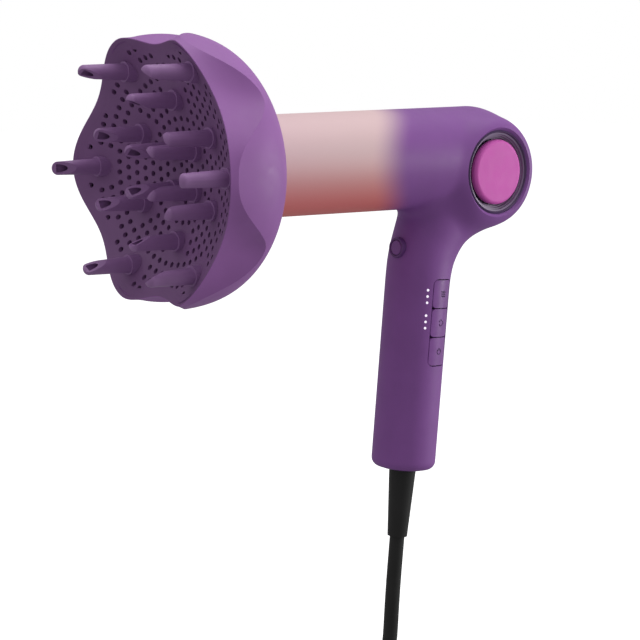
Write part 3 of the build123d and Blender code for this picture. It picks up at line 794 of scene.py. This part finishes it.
def make_key_signs(materials):
    """Each sign is laid round its key's curved face."""
    for index, (key, lines) in enumerate(sign_lines().items()):
        curve = bpy.data.curves.new("sign_" + key, "CURVE")
        curve.dimensions = "3D"
        curve.bevel_depth = SIGN_THICK
        curve.bevel_resolution = 2
        curve.use_fill_caps = True
        middle = BUTTON_MID + BUTTON_PITCH * (1 - index)
        place = HANDLE @ Matrix.Rotation(BUTTON_TURN, 4, "Z")
        for line in lines:
            spline = curve.splines.new("POLY")
            spline.points.add(len(line) - 1)
            for point, (across, up) in zip(spline.points, line):
                turn = across / SIGN_R
                spot = (SIGN_R * math.cos(turn), SIGN_R * math.sin(turn), middle + up)
                point.co = (*(place @ Vector(spot)), 1.0)
        curve.materials.append(materials["sign_dark"])
        sign = bpy.data.objects.new("sign_" + key, curve)
        bpy.context.collection.objects.link(sign)
        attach(sign, key)


# ---- the diffuser's bowl --------------------------------------------------------------
# six scoops: middle and half width in degrees
SCOOPS = [(34, 34), (90, 22), (146, 34), (214, 34), (270, 22), (326, 34)]
BOWL_AROUND = 480
SCOOP_STEPS = 10          # points along a scoop, then along the dome, on the outside
DOME_STEPS = 36
RIM_R = 0.0716
RIM_Y = -0.1874
RIM_FLAT = 0.0010         # the rim draws in at the top and bottom, more so on the near side
RIM_FAR_R = 0.0012        # and reaches a little further out and forward on the far side
RIM_FAR_Y = 0.0008
RIM_WAVE_R = 0.0069       # how much the rim draws in, and back, between the lobes
RIM_WAVE_Y = 0.0056
CORNER = 0.7              # how sharply the rim turns into the near side's top and bottom scoops
HOLLOW = 0.0010           # a scoop is hollowed by this much in its middle
DOME_R = 0.0727
DOME_FLAT = 0.0010        # the dome is this much narrower at the top and bottom
DOME_Y = -0.1828
DOME_DEEP = 0.0508
DOME_POWER = 2.96
CREASE_Y = -0.1825        # where a scoop meets the dome on a lobe
CREASE_NEAR = 0.0013      # and this much further forward on the near side
CREASE_WAVE = 0.0265
CREASE_POWER = 1.3
BOWL_WALL = 0.0022
NECK_R = 0.0223
LIP_WIDE = 0.0062         # the rim's flat front
LIP_PROUD = 0.00015
LIP_ROUND = 0.0004
LIP_BACK = 0.0022         # how far behind the dish's face the inside ends
DISH_R = 0.118
DISH_MID = -0.1632


def scoop_wave(turn):
    """0 on a lobe and 1 in the middle of a scoop."""
    degrees = math.degrees(turn) % 360
    middle, half = min(SCOOPS, key=lambda scoop: abs(degrees - scoop[0]) / scoop[1])
    return (1 + math.cos(math.pi * min(1, abs(degrees - middle) / half))) / 2


def rim_wave(turn):
    """As scoop_wave, but the top and bottom scoops start more sharply on the near side."""
    wave = scoop_wave(turn)
    off_middle = abs(abs(math.degrees(turn) % 360 - 180) - 90) / SCOOPS[1][1]
    if off_middle < 1 and math.cos(turn) > 0:
        wave += CORNER * (math.cos(math.pi / 2 * off_middle) - wave)
    return wave


def bowl_point(turn, part, inset=0.0):
    """(radius, place along the axis) on the bowl: part 0 to 1 is the scoop, 1 to 2 the dome."""
    wave = scoop_wave(turn)
    near = (1 + math.cos(turn)) / 2
    upright = math.sin(turn) ** 2
    dome_r = DOME_R - DOME_FLAT * upright
    crease_y = CREASE_Y - CREASE_NEAR * near ** 4 + CREASE_WAVE * wave ** CREASE_POWER
    deep = max(crease_y - DOME_Y, 0) / DOME_DEEP
    crease_r = dome_r * (1 - deep ** DOME_POWER) ** (1 / DOME_POWER)
    if part <= 1:
        drawn = rim_wave(turn)
        radius = RIM_R - RIM_FLAT * upright * near + RIM_FAR_R * (1 - near) - RIM_WAVE_R * drawn
        along = RIM_Y - RIM_FAR_Y * (1 - near) + RIM_WAVE_Y * drawn
        hollow = HOLLOW * wave * 4 * part * (1 - part)
        return radius + (crease_r - radius) * part - hollow - inset, along + (crease_y - along) * part
    start = math.atan2(deep ** (DOME_POWER / 2), (crease_r / dome_r) ** (DOME_POWER / 2))
    end = math.acos((NECK_R / dome_r) ** (DOME_POWER / 2))
    angle = start + (end - start) * (part - 1)
    radius = max((dome_r - inset) * math.cos(angle) ** (2 / DOME_POWER), NECK_R)
    return radius, DOME_Y + (DOME_DEEP - inset) * math.sin(angle) ** (2 / DOME_POWER)


def dish_front(radius):
    """Where the dish's face lies along the axis."""
    return DISH_MID - DISH_R + math.sqrt(DISH_R ** 2 - radius ** 2)


def bowl_section(turn):
    """Closed outline of the wall at one angle, and how many of its points come before the lip."""
    outside = [bowl_point(turn, k / SCOOP_STEPS) for k in range(SCOOP_STEPS + 1)]
    outside += [bowl_point(turn, 1 + k / DOME_STEPS) for k in range(1, DOME_STEPS + 1)]
    inside = [bowl_point(turn, 2 - k / 18, BOWL_WALL) for k in range(19)]
    inside += [bowl_point(turn, 1 - k / 5, BOWL_WALL) for k in range(1, 5)]
    rim_r, rim_y = outside[0]
    back = rim_r - BOWL_WALL - LIP_ROUND
    inside.append((back, dish_front(back) + LIP_BACK))
    lip = rim_r - LIP_WIDE
    # the lip runs on from the dish's face to the outer edge
    face = dish_front(lip) - LIP_PROUD
    middle = (lip + rim_r) / 2
    front = [(lip, face + 0.0003), (lip + LIP_ROUND, face), (middle, dish_front(middle) - LIP_PROUD),
             (rim_r - LIP_ROUND, rim_y - 0.0001)]
    return outside + inside + front, len(outside) + len(inside)


def make_bowl(materials):
    """The wall's outline at each angle, skinned all the way round; the lip takes the dish's colour."""
    points = []
    faces = []
    lips = []
    for k in range(BOWL_AROUND):
        turn = 2 * math.pi * k / BOWL_AROUND
        outline, before_lip = bowl_section(turn)
        count = len(outline)
        here = k * count
        other = (k + 1) % BOWL_AROUND * count
        for j, (radius, along) in enumerate(outline):
            points.append((radius * math.cos(turn), along, AXIS_Z + radius * math.sin(turn)))
            after = (j + 1) % count
            faces.append((here + j, other + j, other + after, here + after))
            lips.append(before_lip - 1 <= j < count - 1)
    bowl = mesh_object("diffuser_shell", points, faces)
    bowl.data.shade_smooth()
    bowl.data.set_sharp_from_angle(angle=math.radians(24))
    for key in ("diffuser_outer", "diffuser_inner"):
        bowl.data.materials.append(materials[key])
    bowl.data.polygons.foreach_set("material_index", [int(lip) for lip in lips])
    mark_crease(bowl.data, count)
    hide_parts("diffuser_bowl")
    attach(bowl, "diffuser")


def mark_crease(mesh, count):
    """The line where the scoops meet the dome stays crisp all the way round."""
    sharp = mesh.attributes.get("sharp_edge") or mesh.attributes.new("sharp_edge", "BOOLEAN", "EDGE")
    for edge in mesh.edges:
        first, second = edge.vertices
        if first % count == SCOOP_STEPS and second % count == SCOOP_STEPS:
            sharp.data[edge.index].value = True


# ---- finishes of the CAD nodes --------------------------------------------------------
def dress_nodes(materials):
    """Each CAD node takes the material that the record names for it."""
    for name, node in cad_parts.items():
        for index, slot in enumerate(node.material_slots):
            key = slot.material.name.split(".")[0] if slot.material else ""
            if key in materials:
                slot.material = materials[key]
            else:
                print("no finish for", name, index, key)


materials = make_materials()
make_camera()
make_lights()
make_world()
make_stage()
make_cord(materials)
make_housing(materials)
make_bowl(materials)
make_inlet_ribs(materials, -1, "left")
make_inlet_ribs(materials, 1, "right")
make_key_signs(materials)
dress_nodes(materials)
